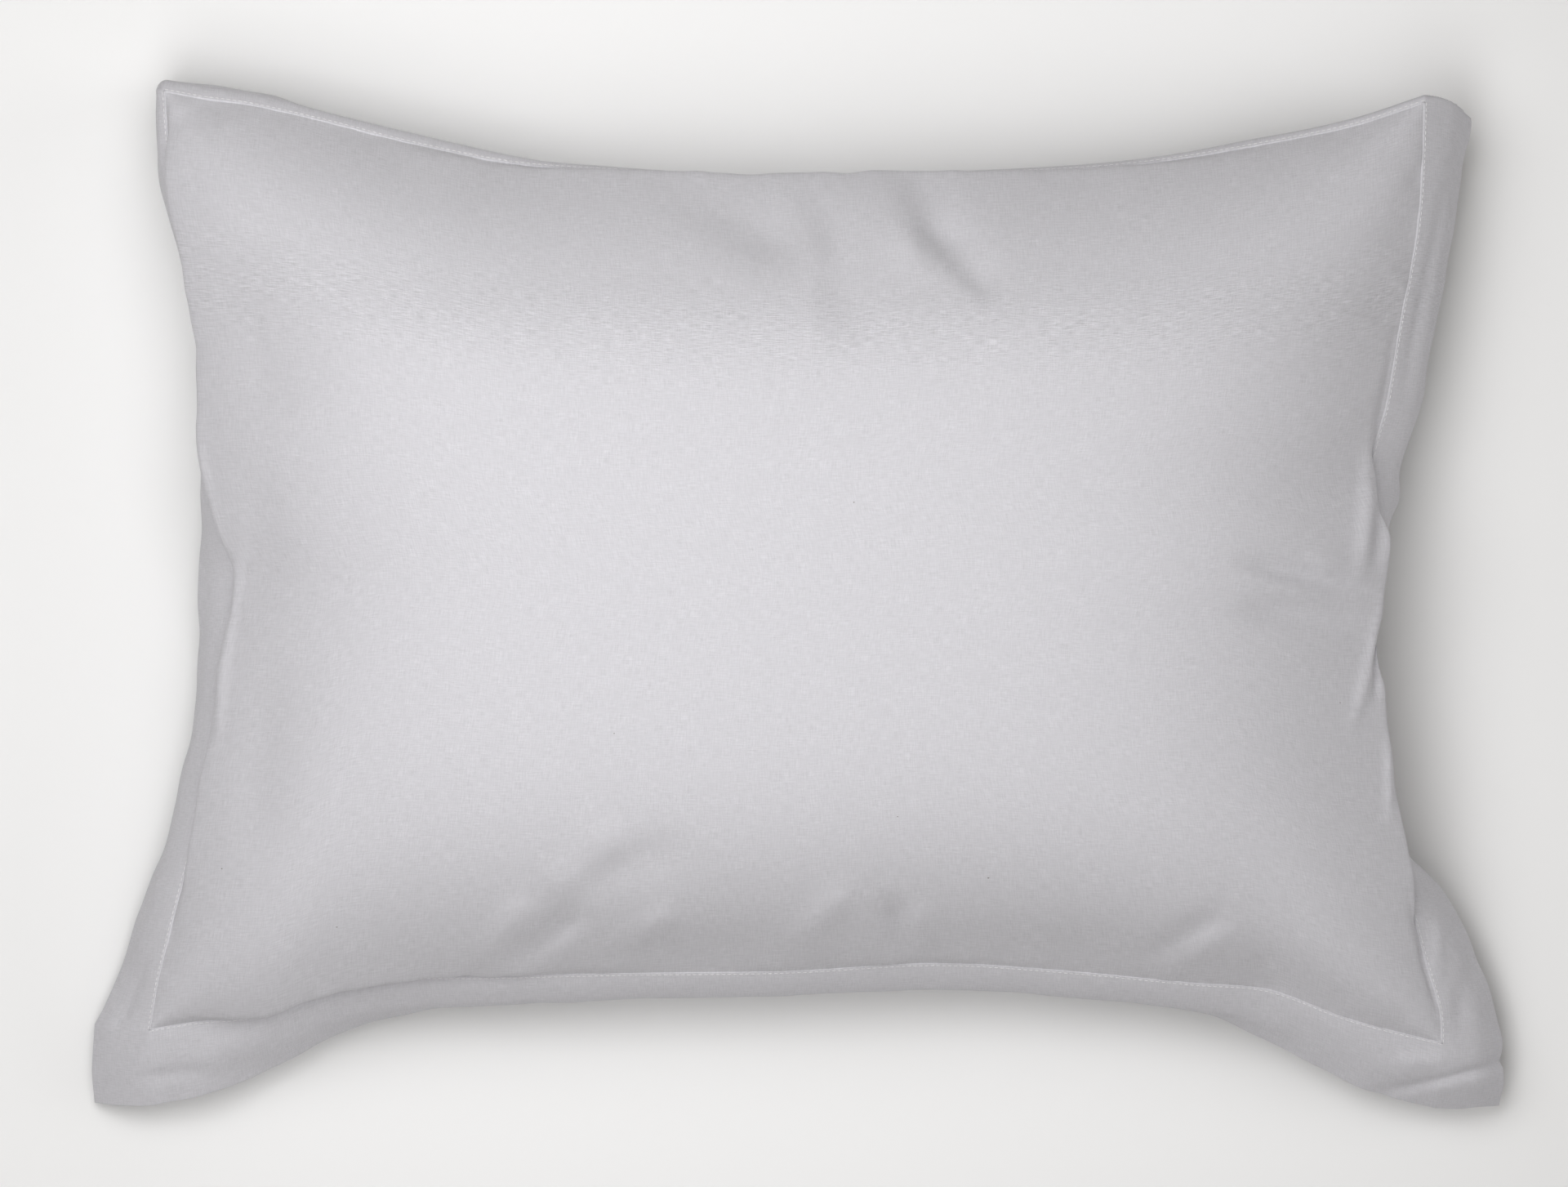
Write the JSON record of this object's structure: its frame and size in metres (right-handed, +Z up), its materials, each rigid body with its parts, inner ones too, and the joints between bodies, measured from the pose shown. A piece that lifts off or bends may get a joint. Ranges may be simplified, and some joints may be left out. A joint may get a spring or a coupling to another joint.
{
  "type": "filled pillowcase with a flat border",
  "caption": "Pillowcase with a flat border all round, plumply filled, lying on its back with drawn-in sides and soft folds.",
  "frame": {"origin": "middle of the outline, on the surface the pillow lies on", "axes": "+X along the pillow's length, +Y across its width towards its upper edge in the picture, +Z up out of its face"},
  "size_m": [0.7548, 0.5504, 0.1823],
  "materials": {
    "cloth": "matte light grey plain weave with fine slubs",
    "border_cloth": "matte light grey plain weave, two layers pressed flat"
  },
  "bodies": {
    "root": {"pocket": "cloth", "flange": "border_cloth"}
  },
  "joints": []
}
